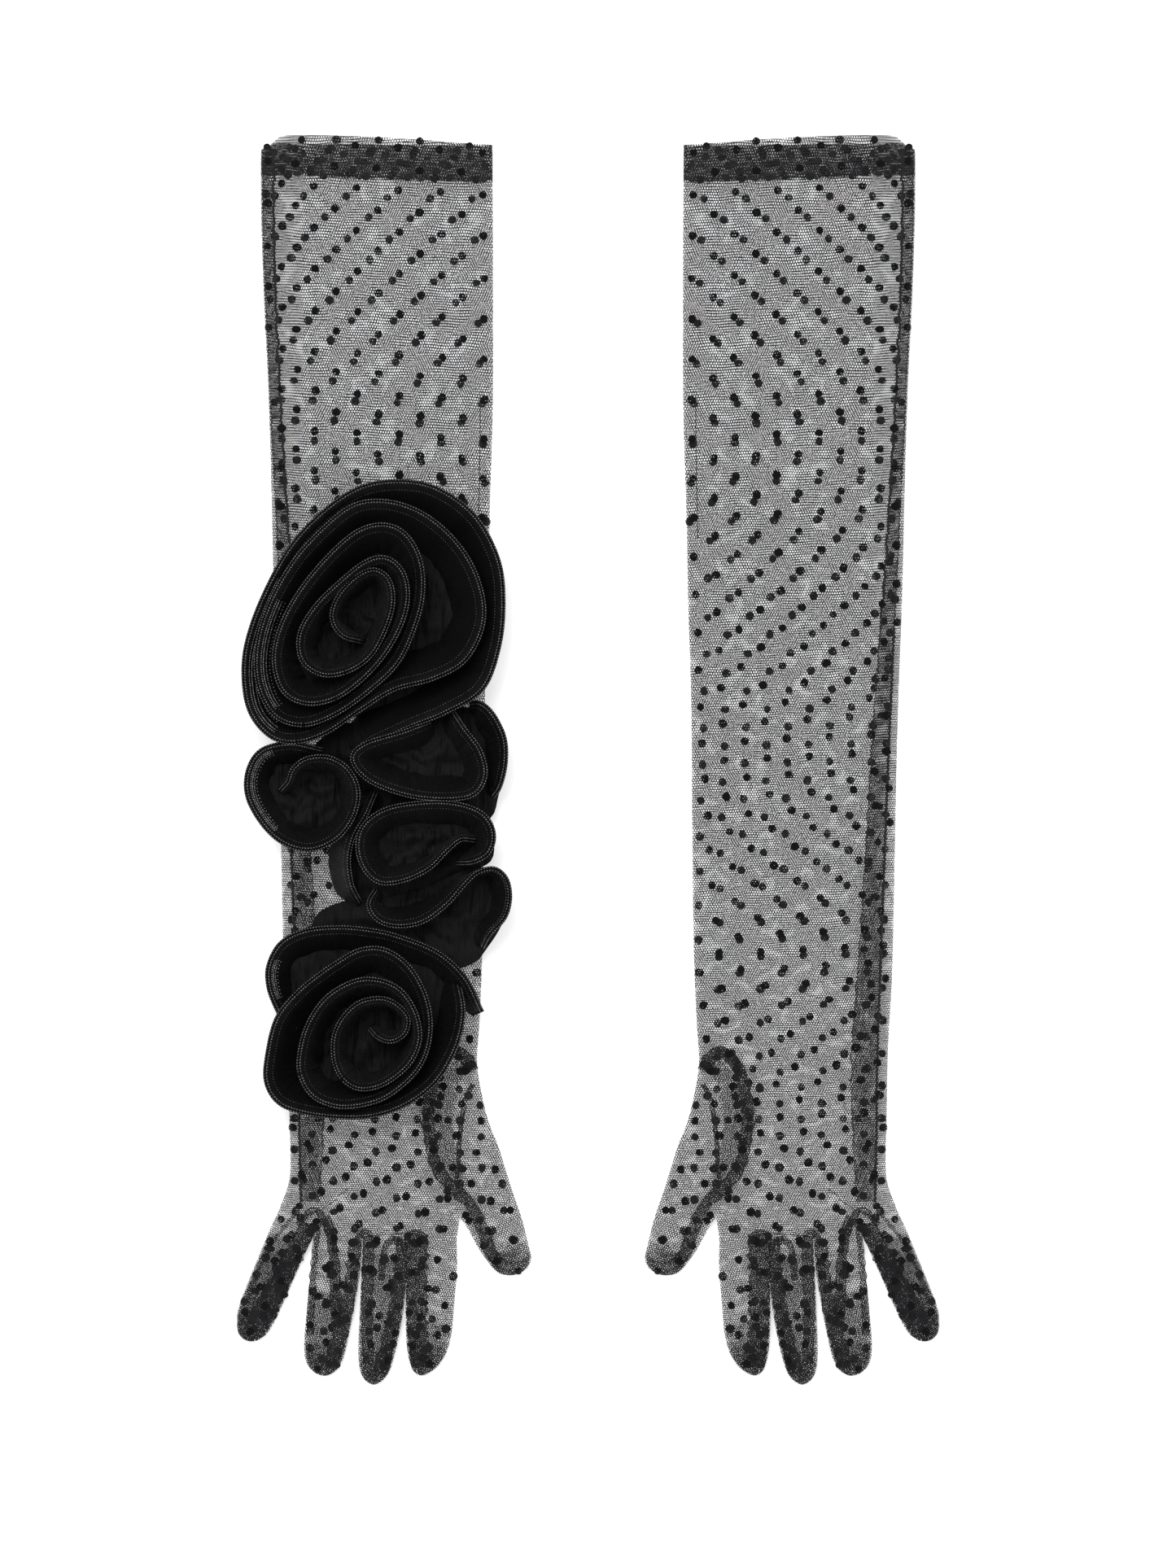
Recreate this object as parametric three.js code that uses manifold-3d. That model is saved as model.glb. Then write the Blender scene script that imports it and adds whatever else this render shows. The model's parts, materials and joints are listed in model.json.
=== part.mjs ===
// A pair of long opera gloves in dotted net, lying flat with the backs of the hands up.
// The right-hand glove lies at -X and carries ribbon roses along its forearm; the left-hand one is plain.
// Millimetres. +Z is up, +Y runs from the fingertips to the arm openings, and the thumbs face each other.
import * as THREE from 'three';
import * as BufferGeometryUtils from 'three/addons/utils/BufferGeometryUtils.js';
import Module from 'manifold-3d';

const wasm = await Module();
wasm.setup();

// Driving dimensions, stated for the plain glove at +X; the other glove's shell is its mirror image.
const HEIGHT = 8; // a glove lying flat, from the table to its upper layer
const CLOTH = 0.8; // one layer of net
const HEM_WALL = 1.2; // the net folded double at the arm opening
const GAP = 0.3; // clearance between neighbouring pieces
const ARM_TOP = 295.6; // y of the arm opening, as far from the middle as the longest fingertip
const HEM_WIDTH = 20; // along the arm
const ELBOW_FOLD = 144; // y of the fold above the elbow rose
const WRIST_FOLD = -176; // y of the fold below the wrist rose
const FOLD_WALL = 1.2; // thickness of the net where it turns over along the thumb side
const SEAM_WIDTH = 6; // side seam and its allowance along the little-finger side
const HAND_SEAM_WIDTH = 3;
const FOURCHETTE = { width: 5, thickness: 1 };
const EDGE_ROUND = 2.4; // rounding along the sides of a finger
const RIBBON = 1.4; // folded ribbon of the roses

// Sleeve stations from the arm opening to the wrist fold: y, x of the thumb side, x of the seam side.
const SLEEVE = [
  [ARM_TOP, 45.2, 154.6],
  [ELBOW_FOLD, 46, 150],
  [0, 48.8, 146.2],
  [-137, 52, 142],
  [-156, 50.2, 141.5],
  [WRIST_FOLD, 44.8, 141],
];

// Each stall: where the middle of its mouth is, how far it leans from straight down, and its size.
const STALLS = {
  thumb: { mouth: [47.8, -212.2], lean: -18, width: 26.4, tip: 19, length: 33 },
  index_finger: { mouth: [73.4, -226.5], lean: 2.5, width: 22.4, tip: 17, length: 64.6 },
  middle_finger: { mouth: [95.8, -226.5], lean: 3.8, width: 21, tip: 16, length: 69.2 },
  ring_finger: { mouth: [117.9, -226.5], lean: 6.2, width: 22, tip: 17, length: 64.9 },
  little_finger: { mouth: [138.4, -217.9], lean: 21.5, width: 19.6, tip: 16.5, length: 61.5 },
};

// A fourchette closes the crotch between two fingers: the pair, and how far it sits inside the hand.
const FOURCHETTES = [
  ['index', 'middle', 1.6],
  ['middle', 'ring', 1.6],
  ['ring', 'little', 4.6],
];

const netMaterial = () => new THREE.MeshStandardMaterial({ color: 0x1a1a1b, roughness: 0.9, metalness: 0 });
const crepeMaterial = () => new THREE.MeshStandardMaterial({ color: 0x0a0a0b, roughness: 0.65, metalness: 0 });

const gloves = new THREE.Group();

function addMesh(name, geometry, material) {
  const mesh = new THREE.Mesh(geometry, material);
  mesh.name = name;
  gloves.add(mesh);
  return mesh;
}

// ---- Solids ----

// A flat sheet with the given outline, from z up to z + thickness.
function slab(outline, z, thickness) {
  const shape = new THREE.Shape(outline.map(([x, y]) => new THREE.Vector2(x, y)));
  const geometry = new THREE.ExtrudeGeometry(shape, { depth: thickness, bevelEnabled: false });
  return geometry.translate(0, 0, z);
}

function toSolid(geometry) {
  const bare = geometry.clone();
  bare.deleteAttribute('normal');
  bare.deleteAttribute('uv');
  const merged = BufferGeometryUtils.mergeVertices(bare, 1e-4);
  const mesh = new wasm.Mesh({
    numProp: 3,
    vertProperties: new Float32Array(merged.attributes.position.array),
    triVerts: new Uint32Array(merged.index.array),
  });
  return new wasm.Manifold(mesh);
}

function toGeometry(solid) {
  const { vertProperties, triVerts } = solid.getMesh();
  const geometry = new THREE.BufferGeometry();
  geometry.setAttribute('position', new THREE.BufferAttribute(new Float32Array(vertProperties), 3));
  geometry.setIndex(new THREE.BufferAttribute(new Uint32Array(triVerts), 1));
  geometry.computeVertexNormals();
  return geometry;
}

// The outline of a stall pointing to -Y: straight sides that close in on a round tip.
function stallShape({ width, tip, length }, inset, overrun) {
  const half = width / 2 - inset;
  const tipHalf = tip / 2 - inset;
  const tipStart = length - tip / 2;
  const shape = new THREE.Shape();
  shape.moveTo(half, overrun);
  shape.lineTo(half, 0);
  shape.lineTo(tipHalf, -tipStart);
  shape.absarc(0, -tipStart, tipHalf, 0, -Math.PI, true);
  shape.lineTo(-half, 0);
  shape.lineTo(-half, overrun);
  shape.closePath();
  return shape;
}

// A pillow of that outline with rounded edges, from z up to z + thickness.
function pillow(shape, z, thickness, round) {
  const geometry = new THREE.ExtrudeGeometry(shape, {
    depth: thickness - 2 * round,
    bevelThickness: round,
    bevelSize: round,
    bevelOffset: -round,
    bevelSegments: 2,
    curveSegments: 10,
  });
  return geometry.translate(0, 0, z + round);
}

// A hollow finger or thumb stall, open at its mouth at y = 0.
function stall(size) {
  const overrun = 10;
  const outside = toSolid(pillow(stallShape(size, 0, overrun), 0, HEIGHT, EDGE_ROUND));
  const inside = toSolid(
    pillow(stallShape(size, CLOTH, overrun), CLOTH, HEIGHT - 2 * CLOTH, EDGE_ROUND - CLOTH),
  );
  const beyondMouth = new THREE.BoxGeometry(2 * size.width, 2 * overrun, 2 * HEIGHT);
  beyondMouth.translate(0, overrun, HEIGHT / 2);
  return toGeometry(outside.subtract(inside).subtract(toSolid(beyondMouth)));
}

// A flat tube for the hem, centred on x = 0 and running to -Y from y = 0.
function hemRing(width) {
  const ring = roundedBox(width, HEIGHT, 3);
  ring.holes.push(roundedBox(width - 2 * HEM_WALL, HEIGHT - 2 * HEM_WALL, 3 - HEM_WALL));
  const geometry = new THREE.ExtrudeGeometry(ring, {
    depth: HEM_WIDTH - GAP,
    bevelEnabled: false,
    curveSegments: 4,
  });
  geometry.rotateX(Math.PI / 2);
  return geometry.translate(0, 0, HEIGHT / 2);
}

function roundedBox(width, height, radius) {
  const x = width / 2 - radius;
  const y = height / 2 - radius;
  const shape = new THREE.Shape();
  shape.absarc(x, y, radius, 0, Math.PI / 2);
  shape.absarc(-x, y, radius, Math.PI / 2, Math.PI);
  shape.absarc(-x, -y, radius, Math.PI, 1.5 * Math.PI);
  shape.absarc(x, -y, radius, 1.5 * Math.PI, 2 * Math.PI);
  shape.closePath();
  return shape;
}

// ---- The shell of one glove ----

// The two edges of the sleeve at y, by straight lines between the stations.
function sleeveEdges(y) {
  const below = SLEEVE.findIndex(([stationY]) => stationY <= y);
  const [y1, thumb1, seam1] = SLEEVE[below];
  const [y0, thumb0, seam0] = SLEEVE[Math.max(below - 1, 0)];
  const share = y0 === y1 ? 0 : (y0 - y) / (y0 - y1);
  return [THREE.MathUtils.lerp(thumb0, thumb1, share), THREE.MathUtils.lerp(seam0, seam1, share)];
}

// Both edges of the sleeve between two heights, each as a list of points from the top down.
function sleeveSides(low, high) {
  const between = SLEEVE.map(([y]) => y).filter((y) => y < high && y > low);
  const heights = [high, ...between, low];
  return {
    thumbSide: heights.map((y) => [sleeveEdges(y)[0], y]),
    seamSide: heights.map((y) => [sleeveEdges(y)[1], y]),
  };
}

// A strip that follows a line and is so wide, measured along x.
function strip(line, width) {
  const far = line.map(([x, y]) => [x + width, y]);
  return [...line, ...far.reverse()];
}

const mirrored = (outline, side) => outline.map(([x, y]) => [side * x, y]);

// The upper and lower layers of net, and the turned edges that join them along both sides.
function addTube(prefix, side, outline, thumbSide, seamSide, seamWidth) {
  const wallHeight = HEIGHT - 2 * CLOTH - 2 * GAP;
  const wallBase = CLOTH + GAP;
  addMesh(`${prefix}_back_layer`, slab(mirrored(outline, side), HEIGHT - CLOTH, CLOTH), netMaterial());
  addMesh(`${prefix}_palm_layer`, slab(mirrored(outline, side), 0, CLOTH), netMaterial());
  const fold = strip(thumbSide, FOLD_WALL);
  const seam = strip(seamSide, -seamWidth);
  addMesh(`${prefix}_thumb_side_fold`, slab(mirrored(fold, side), wallBase, wallHeight), netMaterial());
  addMesh(`${prefix}_side_seam`, slab(mirrored(seam, side), wallBase, wallHeight), netMaterial());
}

function addSleevePart(prefix, side, low, high) {
  const { thumbSide, seamSide } = sleeveSides(low, high);
  const outline = [...thumbSide, ...[...seamSide].reverse()];
  addTube(prefix, side, outline, thumbSide, seamSide, SEAM_WIDTH);
}

// The two corners of a stall's mouth, thumb side first, moved into the hand by a small clearance.
function mouthCorners({ mouth, lean, width }) {
  const angle = THREE.MathUtils.degToRad(lean);
  const across = [Math.cos(angle), Math.sin(angle)];
  const inward = [-Math.sin(angle) * 1.3 * GAP, Math.cos(angle) * 1.3 * GAP];
  return [-1, 1].map((end) => [
    mouth[0] + (end * across[0] * width) / 2 + inward[0],
    mouth[1] + (end * across[1] * width) / 2 + inward[1],
  ]);
}

function addHand(prefix, side) {
  const top = WRIST_FOLD - GAP;
  const [thumbEdge, seamEdge] = sleeveEdges(WRIST_FOLD);
  const thumbMouth = mouthCorners(STALLS.thumb);
  const littleMouth = mouthCorners(STALLS.little_finger);
  const thumbSide = [[thumbEdge, top], [37.5, -198], thumbMouth[0]];
  const seamSide = [[seamEdge, top], [141, -196], littleMouth[1]];
  const mouths = Object.values(STALLS).flatMap(mouthCorners);
  const outline = [thumbSide[0], thumbSide[1], ...mouths, seamSide[1], seamSide[0]];
  addTube(prefix, side, outline, thumbSide, seamSide, HAND_SEAM_WIDTH);
}

function addStalls(glove, side) {
  for (const [name, size] of Object.entries(STALLS)) {
    const mesh = addMesh(`${glove}_${name}`, stall(size), netMaterial());
    mesh.position.set(side * size.mouth[0], size.mouth[1], 0);
    mesh.rotation.z = side * THREE.MathUtils.degToRad(size.lean);
  }
}

// The short upright walls in the crotches: one fourchette between each two fingers, and the thumb's gusset.
function addCrotchWalls(glove, side) {
  const wallHeight = HEIGHT - 2 * CLOTH - 2 * GAP;
  for (const [first, second, inset] of FOURCHETTES) {
    const a = STALLS[`${first}_finger`];
    const b = STALLS[`${second}_finger`];
    const angle = THREE.MathUtils.degToRad((a.lean + b.lean) / 2);
    const corners = [mouthCorners(a)[1], mouthCorners(b)[0]];
    const x = (corners[0][0] + corners[1][0]) / 2 - Math.sin(angle) * inset;
    const y = (corners[0][1] + corners[1][1]) / 2 + Math.cos(angle) * inset;
    const wall = new THREE.BoxGeometry(FOURCHETTE.width, FOURCHETTE.thickness, wallHeight);
    const mesh = addMesh(`${glove}_fourchette_${first}_${second}`, wall, netMaterial());
    mesh.position.set(side * x, y, HEIGHT / 2);
    mesh.rotation.z = side * angle;
  }
  const thumbCorner = mouthCorners(STALLS.thumb)[1];
  const indexCorner = mouthCorners(STALLS.index_finger)[0];
  const gusset = strip([thumbCorner, indexCorner], FOURCHETTE.thickness);
  const geometry = slab(mirrored(gusset, side), CLOTH + GAP, wallHeight);
  addMesh(`${glove}_thumb_gusset`, geometry, netMaterial());
}

function addHem(glove, side) {
  const [thumbEdge, seamEdge] = sleeveEdges(ARM_TOP - HEM_WIDTH / 2);
  const mesh = addMesh(`${glove}_hem`, hemRing(seamEdge - thumbEdge), netMaterial());
  mesh.position.set((side * (seamEdge + thumbEdge)) / 2, ARM_TOP, 0);
}

function addGlove(glove, side) {
  addHem(glove, side);
  addSleevePart(`${glove}_upper_arm`, side, ELBOW_FOLD + GAP, ARM_TOP - HEM_WIDTH);
  addSleevePart(`${glove}_forearm`, side, WRIST_FOLD + GAP, ELBOW_FOLD - GAP);
  addHand(`${glove}_hand`, side);
  addStalls(glove, side);
  addCrotchWalls(glove, side);
}

// ---- Ribbon roses on the rosette glove, in the glove's own place at -X ----

// Each route is a line that the ribbon's edge follows, seen from above. The points are chosen by hand.
const ELBOW_ROSE = [
  [-67, 23.5], [-50.5, 34], [-43, 53.5], [-41, 74.5], [-43.5, 94], [-54, 113.5], [-70, 125.5], [-86.5, 129.5],
  [-105.5, 127], [-123.5, 115.5], [-139.5, 98], [-152.5, 73.5], [-159.5, 52], [-160, 34], [-156.5, 21],
  [-147.5, 11.5], [-136.5, 9.5], [-123, 14], [-108, 24], [-91.5, 34], [-73.5, 39], [-59, 47], [-51, 61.5],
  [-50.5, 76], [-56.5, 92.5], [-67, 106], [-80, 115.5], [-94.5, 120], [-109, 118.5], [-122.5, 108.5],
  [-137, 92.5], [-148, 73], [-154, 53.5], [-153.5, 35.5], [-146, 21.5], [-133, 17.5], [-118, 23],
  [-102.5, 34], [-89.5, 47], [-81.5, 65], [-78.5, 79.5], [-80, 94], [-86.5, 105], [-96, 109], [-107.5, 106],
  [-120, 95.5], [-133, 80], [-142.5, 63], [-146, 47], [-142, 33], [-131.5, 27.5], [-118.5, 30], [-106, 39],
  [-95.5, 51], [-88, 65], [-85.5, 77.5], [-88, 88], [-95, 93.5], [-104, 91.5], [-115.5, 82.5], [-127, 71],
  [-134, 58.5], [-133, 47], [-124.5, 41], [-114, 42], [-103.5, 48.5], [-96.5, 60], [-92.5, 73], [-94, 83.5],
  [-100.5, 88], [-109, 84], [-116.5, 75.5], [-119, 66.5], [-114.5, 59], [-105.5, 56.5],
];
const WRIST_PETAL = [
  [-146, -115], [-149, -106.5], [-149, -97], [-143.5, -87], [-132.5, -81.5], [-118, -80], [-104, -81],
  [-90, -84], [-71.5, -91.5], [-58.5, -103.5], [-51, -119.5],
];
const WRIST_ROSE = [
  [-62.5, -104], [-60, -114.5], [-60.5, -125], [-64.5, -137.5], [-73, -151], [-86.5, -161], [-101.5, -166],
  [-117, -166.5], [-133, -164.5], [-144.5, -160], [-150, -150.5], [-149, -137], [-145, -122], [-136.5, -111],
  [-126.5, -102.5], [-117, -96], [-107, -90.5], [-96.5, -90], [-86.5, -96], [-79.5, -106], [-75.5, -118],
  [-75.5, -131], [-79.5, -142.5], [-88, -152], [-99.5, -159], [-115.5, -161.5], [-128, -157], [-134, -146.5],
  [-133.5, -135], [-130, -124], [-123.5, -114], [-115, -107.5], [-105, -104], [-94.5, -105.5], [-87, -110.5],
  [-81.5, -120], [-80, -131], [-84, -141], [-92, -148.5], [-100, -152.5], [-108, -153], [-114.5, -148.5],
  [-118, -140.5], [-118, -130], [-114, -121.5], [-107, -115], [-97.5, -113], [-90.5, -115.5], [-85.5, -121],
  [-86.5, -127.5], [-92, -131], [-98, -129.5], [-102.5, -125.5],
];
const UPPER_FRILL = [
  [-64.5, 22], [-59, 14], [-51.5, 3.5], [-49.5, -8], [-57, -16.5], [-80, -16.5], [-101, -9.5], [-109.5, 0],
  [-104, 6.5], [-86.5, 12], [-73.5, 17],
];
const SIDE_FRILL = [
  [-56, 25.5], [-51, 25.5], [-45.5, 20.5], [-40.5, 10], [-40, -1.5], [-42.5, -12], [-46, -17],
];
const SMALL_ROSE = [
  [-125, 3.5], [-139.5, 6.5], [-152.5, 3.5], [-158.5, -5.5], [-158.5, -17.5], [-151, -30.5], [-141.5, -38.5],
  [-130, -41], [-118.5, -36], [-111, -26], [-109, -14.5], [-113.5, -5], [-122, 0], [-131.5, -0.5],
  [-137.5, -5], [-140, -11], [-144.5, -15.5],
];
const MIDDLE_ROSE = [
  [-52.5, -37], [-60, -36.5], [-67, -42], [-75, -50], [-86.5, -55.5], [-97.5, -56.5], [-104.5, -50],
  [-107, -40.5], [-104.5, -31.5], [-95, -24.5], [-80, -21.5], [-63.5, -21.5], [-50.5, -26], [-45.5, -34.5],
  [-47.5, -43], [-54.5, -47], [-62, -47.5],
];
const LINKING_RUFFLE = [[-101, -14.5], [-105, -25], [-111, -35.5], [-113.5, -47], [-112, -59], [-108, -68]];
const LOWER_FRILL = [
  [-99, -61.5], [-102, -68], [-98, -74.5], [-89.5, -77], [-78, -75], [-67, -67], [-59, -58], [-52.5, -52],
  [-44, -50], [-37.5, -55], [-35.5, -64.5], [-38, -74.5], [-45, -82.5], [-49, -89.5],
];

// Each ribbon: its route, the first and last point that it uses, and how high it stands.
const RIBBONS = {
  elbow_rose_outer_ruffle: [ELBOW_ROSE, 0, 15, 22],
  elbow_rose_second_ruffle: [ELBOW_ROSE, 16, 34, 26],
  elbow_rose_third_ruffle: [ELBOW_ROSE, 35, 50, 29],
  elbow_rose_inner_ruffle: [ELBOW_ROSE, 51, 63, 31],
  elbow_rose_bud: [ELBOW_ROSE, 64, 74, 30],
  upper_frill: [UPPER_FRILL, 0, 10, 24],
  side_frill: [SIDE_FRILL, 0, 6, 18],
  small_rose: [SMALL_ROSE, 0, 16, 24],
  middle_rose: [MIDDLE_ROSE, 0, 16, 25],
  linking_ruffle: [LINKING_RUFFLE, 0, 5, 20],
  lower_frill: [LOWER_FRILL, 0, 13, 22],
  wrist_rose_petal: [WRIST_PETAL, 0, 10, 18],
  wrist_rose_outer_ruffle: [WRIST_ROSE, 0, 12, 22],
  wrist_rose_second_ruffle: [WRIST_ROSE, 13, 26, 26],
  wrist_rose_inner_ruffle: [WRIST_ROSE, 27, 40, 29],
  wrist_rose_bud: [WRIST_ROSE, 41, 52, 28],
};

// A smooth line along part of a route.
function sweep(route, first, last) {
  const stepsPerPoint = 3;
  const curve = new THREE.SplineCurve(route.map(([x, y]) => new THREE.Vector2(x, y)));
  const steps = (last - first) * stepsPerPoint;
  return Array.from({ length: steps + 1 }, (_, i) => {
    const point = curve.getPoint((first + i / stepsPerPoint) / (route.length - 1));
    return [point.x, point.y];
  });
}

// A ribbon standing on edge along a line.
function ribbon(line, height) {
  const edge = (sign) =>
    line.map(([x, y], i) => {
      const [x0, y0] = line[Math.max(i - 1, 0)];
      const [x1, y1] = line[Math.min(i + 1, line.length - 1)];
      const shift = (sign * RIBBON) / 2 / Math.hypot(x1 - x0, y1 - y0);
      return [x - (y1 - y0) * shift, y + (x1 - x0) * shift];
    });
  return slab([...edge(1), ...edge(-1).reverse()], HEIGHT + GAP, height);
}

addGlove('plain', 1);
addGlove('rosette', -1);
for (const [name, [route, first, last, height]] of Object.entries(RIBBONS)) {
  addMesh(name, ribbon(sweep(route, first, last), height), crepeMaterial());
}

export default gloves;
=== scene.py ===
import json
import math
import random

import bmesh
import bpy
import numpy as np
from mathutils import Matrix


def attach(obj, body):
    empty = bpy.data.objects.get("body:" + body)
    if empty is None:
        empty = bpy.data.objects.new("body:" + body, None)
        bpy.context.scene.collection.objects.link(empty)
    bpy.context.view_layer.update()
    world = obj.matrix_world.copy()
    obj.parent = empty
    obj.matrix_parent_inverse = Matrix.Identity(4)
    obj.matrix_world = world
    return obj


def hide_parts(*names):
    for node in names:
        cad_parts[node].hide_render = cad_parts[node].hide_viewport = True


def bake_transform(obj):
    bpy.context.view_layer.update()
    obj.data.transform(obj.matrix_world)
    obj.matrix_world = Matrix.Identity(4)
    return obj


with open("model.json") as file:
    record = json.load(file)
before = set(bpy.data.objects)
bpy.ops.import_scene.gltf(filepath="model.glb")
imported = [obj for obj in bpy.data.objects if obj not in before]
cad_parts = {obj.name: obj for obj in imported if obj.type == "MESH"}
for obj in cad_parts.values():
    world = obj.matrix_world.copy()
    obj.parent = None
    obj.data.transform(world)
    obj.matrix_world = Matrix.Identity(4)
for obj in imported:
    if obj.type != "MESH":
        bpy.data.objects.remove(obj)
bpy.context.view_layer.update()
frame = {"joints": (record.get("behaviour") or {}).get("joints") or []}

# A pair of opera gloves in dotted net, lying flat, one of them trimmed with a trail of ribbon roses.
# Everything below is in millimetres, for the plain glove at +X. The rosette glove is its mirror image,
# except for the ribbons, which are given where they lie. Meshes are turned into metres as they are made.
MM = 0.001
scene = bpy.context.scene
JOINTS = {joint["name"]: joint for joint in frame["joints"]}

# ---- Driving dimensions ----
ELBOW = JOINTS["plain_elbow_fold"]["pos_m"][1] / MM  # y of the fold in the sleeve
WRIST = JOINTS["plain_wrist_fold"]["pos_m"][1] / MM
SPLIT = 62.0  # y where the arm's net ends and the hand's begins
PALM_TOP = -140.0  # y where straight rows of the mesh give way to the spread of the hand
LOW = 0.4  # the under layer's height above the table
HIGH = 6.4  # the upper layer's
MIDDLE_X = 98  # about the middle of the sleeve
ELBOW_REACH = 17  # how far to each side of its fold line the bend at the elbow reaches
WRIST_REACH = 13
OPENING_Y = 288.0  # the row whose points the arm opening's edge is set out from
TOP_ROW = 282.0  # the first straight row of the mesh
ROW_PITCH = 4.0
FINE_THREAD = 0.2  # radius
EDGE_ROUND = 3.2  # how far in from the edge the net starts to turn over
RIBBON_BASE = 7.4  # the height of the ribbons' feet
RIBBON_THICK = 0.9
DROOP_LENGTH = 11  # how far from its free end a ribbon starts to droop
SIDES = {"plain": 1, "rosette": -1}  # the rosette glove's net is mirrored in x

# The two edges of the glove, from the arm opening down to the thumb and to the little finger.
THUMB_EDGE = [
    (45.2, 290.8), (44.9, 235), (45.0, 168), (46.4, 120), (47.3, 75), (48.7, 28), (49.2, -30), (49.9, -87),
    (51.4, -125), (52.5, -141), (51.2, -153), (47.3, -170), (42.6, -182), (37.9, -197), (34.2, -208.1),
]
SEAM_EDGE = [
    (154.5, 288.4), (154.6, 262), (153.4, 222), (151.2, 176), (149.8, 132), (148.5, 78), (146.3, 15),
    (145.0, -45), (143.8, -100), (141.8, -137), (141.2, -168), (140.7, -187), (141.5, -200), (146.9, -214.8),
]
# Each stall's outline, from the corner of its mouth on the thumb side round the tip to the other corner.
STALLS = {
    "thumb": [
        (34.2, -208.1), (30.8, -218.5), (27.9, -230.2), (26.8, -235.4), (28.4, -239.8), (32.4, -242.8),
        (37.6, -243.7), (42.9, -242.2), (47, -237.8), (52.2, -230.2), (57.2, -221), (60.6, -216.3),
    ],
    "index_finger": [
        (62.1, -226.8), (61.9, -240), (63.2, -257), (64.6, -272), (67.4, -281.4), (72.2, -287.8),
        (78.9, -291.1), (83.4, -287.6), (85.6, -278), (86.2, -264), (86.1, -249.9), (85, -226.5),
    ],
    "middle_finger": [
        (85, -226.5), (86.1, -249.9), (87.8, -264), (90.3, -276.4), (92.6, -285.6), (95.6, -291.9),
        (101, -295.4), (106, -292.6), (108.2, -286.6), (108.6, -277), (108, -262), (106.8, -233.7),
        (106.6, -226.6),
    ],
    "ring_finger": [
        (106.6, -226.6), (107.4, -240), (110.3, -258), (113, -271.8), (115.4, -282.2), (119, -288.6),
        (124.3, -291.2), (129.8, -289.2), (133.3, -284.4), (134.2, -276), (132.8, -258), (130.7, -239.5),
        (129, -223.6),
    ],
    "little_finger": [
        (129, -223.6), (136.5, -239.5), (144.6, -258), (149, -267), (152.8, -272.4), (157.6, -274.9),
        (162.2, -274.2), (165.4, -270.8), (166.1, -265.6), (164.8, -257.5), (157.7, -239.5), (150, -221),
        (146.9, -214.8),
    ],
}
TIP = 6  # which point of each outline is the tip

# The arm opening: the upper layer's edge, the under layer's edge that shows above it, and the hem's depth.
FRONT_TOP = [(44, 290.8), (70, 290.5), (100, 290.7), (147, 291.4), (150.8, 290.2), (155, 288.2)]
BACK_TOP = [(44, 290.8), (62, 292.2), (80, 293.6), (105, 295), (120, 295.6), (143, 295.5), (147.4, 293.8),
            (150.4, 290.8), (155, 288.2)]
HEM_EDGE = [(44, 273.2), (75, 273.9), (105, 274.8), (130, 276.2), (155, 276.6)]
CREASE = [(50.9, 172), (51.0, 150), (51.4, 128), (51.8, 104)]  # a drawn thread beside the folded edge
PALM_CREASES = [[(84.4, -223.2), (91, -224), (98, -224.6), (104.7, -225)], [(113.3, -202.6), (118, -206)],
                [(118.6, -207.6), (126.1, -212.6)]]
HEM_TURN = 8.5  # how far the raw edge is turned back up inside the hem

# The side seam's allowance lies between two lines. Each row gives a y and the x of both lines there.
SEAM_LINES = [
    (295, 148.4, 153.6), (244, 148.2, 153.4), (186, 146.1, 151.0), (144, 143.8, 148.8), (90, 140.3, 146.1),
    (52, 137.3, 144.2), (-18, 132.6, 141.2), (-87, 128.4, 138.6), (-141, 124.5, 136.7), (-179, 125.3, 136.3),
    (-212, 127.4, 135.6),
]

# The lattice that the dots sit on, one for each layer: where it starts, its pitch across and down, and how
# it drifts, bows and tightens on the way down. Odd rows are shifted by half a pitch.
LATTICES = {
    "front": {"x": 49.7, "y": 267.0, "across": 19.95, "down": 9.93, "drift": -0.018, "bow": 0.00012,
              "tighten": 0.024, "tilt": 1.05},
    "back": {"x": 54.7, "y": 265.4, "across": 20.0, "down": 9.93, "drift": -0.048, "bow": 0.00004,
             "tighten": 0.024, "tilt": 0.35},
}
DOT_RADIUS = 2.0
HOLES_ACROSS = 17  # holes of the net in one pitch of the dots
HOLES_DOWN = 7.5
CROWDED_FROM = 135.0  # beyond this x the lattice is crowded together towards the seam
CROWDING = 0.68


def new_object(name, data):
    thing = bpy.data.objects.new(name, data)
    scene.collection.objects.link(thing)
    return thing


# ---- Lines and outlines ----

def smooth(points, step):
    """A smooth line through the points, in steps of about that length."""
    p = np.array(points, float)
    ends = np.vstack([2 * p[0] - p[1], p, 2 * p[-1] - p[-2]])
    line = []
    for a, b, c, d in zip(ends, ends[1:], ends[2:], ends[3:]):
        count = max(1, round(np.linalg.norm(c - b) / step))
        for t in np.arange(count) / count:
            line.append(0.5 * (2 * b + (c - a) * t + (2 * a - 5 * b + 4 * c - d) * t**2
                               + (3 * b - 3 * c + d - a) * t**3))
    line.append(p[-1])
    return np.array(line)


def length_along(line):
    return np.concatenate([[0], np.cumsum(np.linalg.norm(np.diff(line, axis=0), axis=1))])


def at_fractions(line, fractions):
    """Points at these fractions of the line's length."""
    run = length_along(line)
    at = np.asarray(fractions) * run[-1]
    return np.column_stack([np.interp(at, run, line[:, k]) for k in range(line.shape[1])])


def x_at(line, y):
    """x on a line that runs down, at each y."""
    order = np.argsort(line[:, 1])
    return np.interp(y, line[order, 1], line[order, 0])


def follow(pairs, at):
    """A smooth function given by a few pairs."""
    return x_at(smooth(pairs, 2.0)[:, ::-1], at)


def unit(vectors):
    return vectors / np.maximum(np.linalg.norm(vectors, axis=1), 1e-9)[:, None]


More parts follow.
